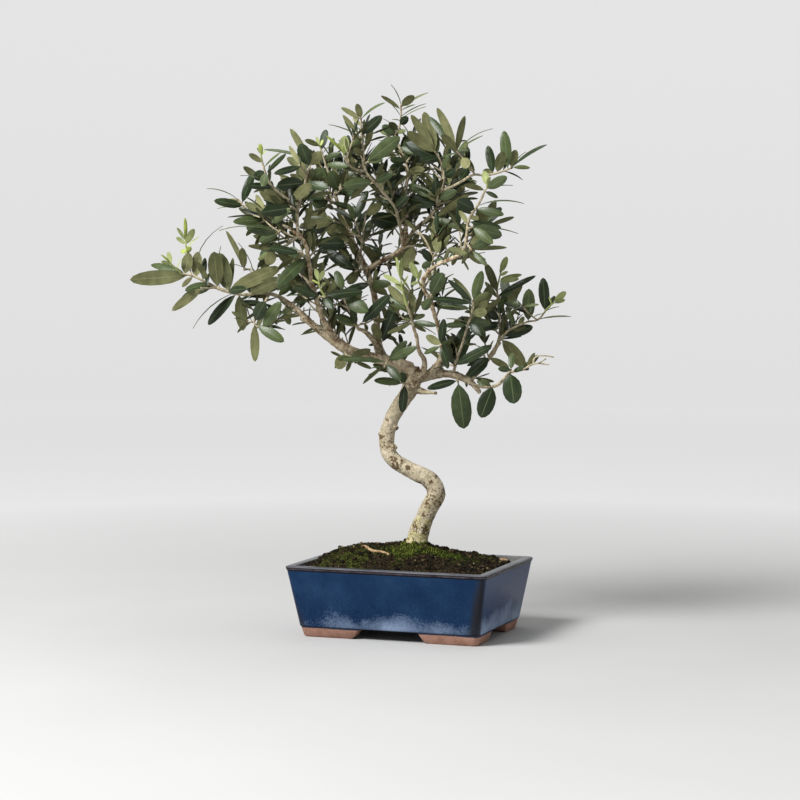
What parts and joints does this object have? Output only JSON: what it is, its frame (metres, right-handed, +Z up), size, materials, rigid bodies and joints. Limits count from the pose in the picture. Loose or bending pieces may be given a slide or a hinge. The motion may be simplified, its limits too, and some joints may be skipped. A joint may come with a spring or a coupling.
{
  "type": "olive bonsai",
  "caption": "Small olive tree with an S-curved trunk and an airy crown of leathery leaves, growing from a mound of soil in a footed rectangular glazed pot.",
  "frame": {"origin": "middle of the bounding box, on the surface that the pot's feet stand on", "axes": "+Z up, X along the pot's long side, -Y towards the pot's front"},
  "size_m": [0.392, 0.3006, 0.5373],
  "materials": {
    "glaze": "glossy cobalt glaze",
    "screen": "matt",
    "soil": "rough",
    "root": "rough bark",
    "bark": "rough bark",
    "leaf": "leathery satin",
    "young_leaf": "satin"
  },
  "bodies": {
    "root": {"pot": "glaze", "screen_left": "screen", "screen_right": "screen", "soil": "soil", "surface_root": "root", "trunk": "bark", "leafy_left_mid": "leaf", "leafy_left_end": "leaf", "leafy_left_shoot": "young_leaf", "leafy_left_bud": "young_leaf", "leafy_inner_low": "leaf", "leafy_inner_back": "leaf", "leafy_inner_shoot": "young_leaf", "leafy_inner_mid": "leaf", "leafy_inner_brown": "leaf", "leafy_far_left": "leaf", "leafy_crown_left": "leaf", "leafy_crown_left_shoot": "young_leaf", "leafy_leader_hook": "leaf", "leafy_leader_brown": "leaf", "leafy_leader_back": "leaf", "leafy_crown_back": "leaf", "leafy_crown_back_shoot": "young_leaf", "leafy_leader_fork": "leaf", "leafy_leader_low": "leaf", "leafy_leader_cross": "leaf", "leafy_side_fan": "leaf", "leafy_leader_base": "leaf", "leafy_leader_behind": "leaf", "leafy_left_under": "leaf", "leafy_knuckle_left": "leaf", "leafy_knuckle_low": "leaf", "leafy_dark_top": "leaf", "leafy_dark_shoot": "young_leaf", "leafy_right_curl": "leaf", "leafy_right_fold": "leaf", "leafy_right_shoot": "young_leaf", "leafy_elbow": "leaf", "leafy_elbow_up": "leaf", "leafy_elbow_bud": "young_leaf", "leafy_right_inner": "leaf", "leafy_right_hang": "leaf", "leafy_right_low": "leaf", "leafy_right_rise": "leaf", "leafy_right_droop": "leaf", "leafy_right_rise_shoot": "young_leaf", "leafy_right_tip_shoot": "young_leaf", "leafy_middle_low": "leaf", "leafy_middle_end": "leaf", "leafy_top_left": "leaf", "leafy_top_left_shoot": "young_leaf", "leafy_centre": "leaf", "leafy_top_right": "leaf"}
  },
  "joints": []
}
